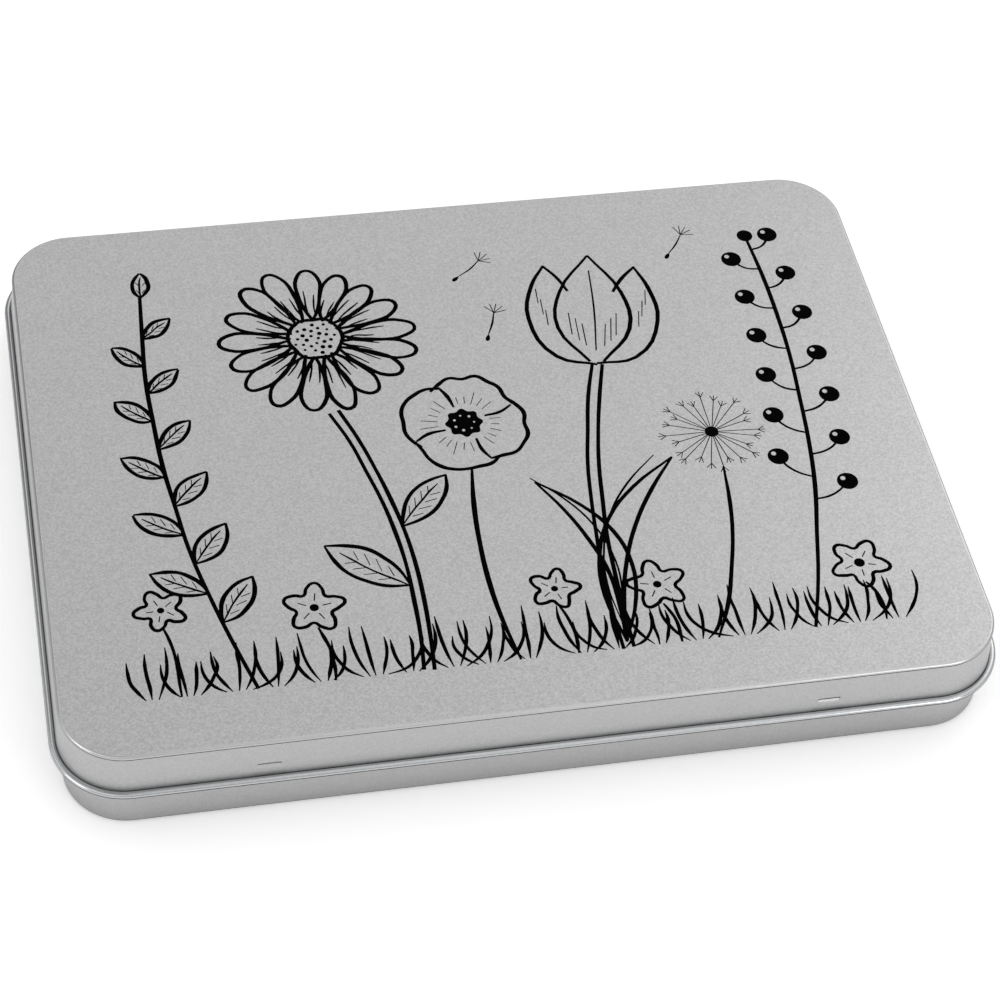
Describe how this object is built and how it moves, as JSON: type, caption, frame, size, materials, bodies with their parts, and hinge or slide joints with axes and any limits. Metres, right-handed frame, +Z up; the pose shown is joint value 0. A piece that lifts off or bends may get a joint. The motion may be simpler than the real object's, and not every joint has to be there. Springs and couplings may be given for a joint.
{
  "type": "hinged storage tin",
  "caption": "Flat rectangular storage tin with rounded corners, a rolled bead round the base and a hinged lid.",
  "frame": {"origin": "middle of the closed tin's footprint, on the plane that the tin stands on", "axes": "+Z up through the lid, +X along the long side, -Y the front with the catch pips, +Y the hinge side"},
  "size_m": [0.2302, 0.1762, 0.0254],
  "materials": {
    "base_tinplate": "satin stone-finish tinplate, bead burnished brighter by the rolling",
    "lid_tinplate": "satin stone-finish tinplate with a black line print on the top"
  },
  "bodies": {
    "base": {"base_pan": "base_tinplate"},
    "lid": {"lid_pan": "lid_tinplate"}
  },
  "joints": [
    {"name": "lid_hinge", "type": "hinge", "parent": "base", "child": "lid", "pos_m": [0, 0.08705, 0.01325], "axis": [-1, 0, 0], "range_deg": [0, 180]}
  ]
}
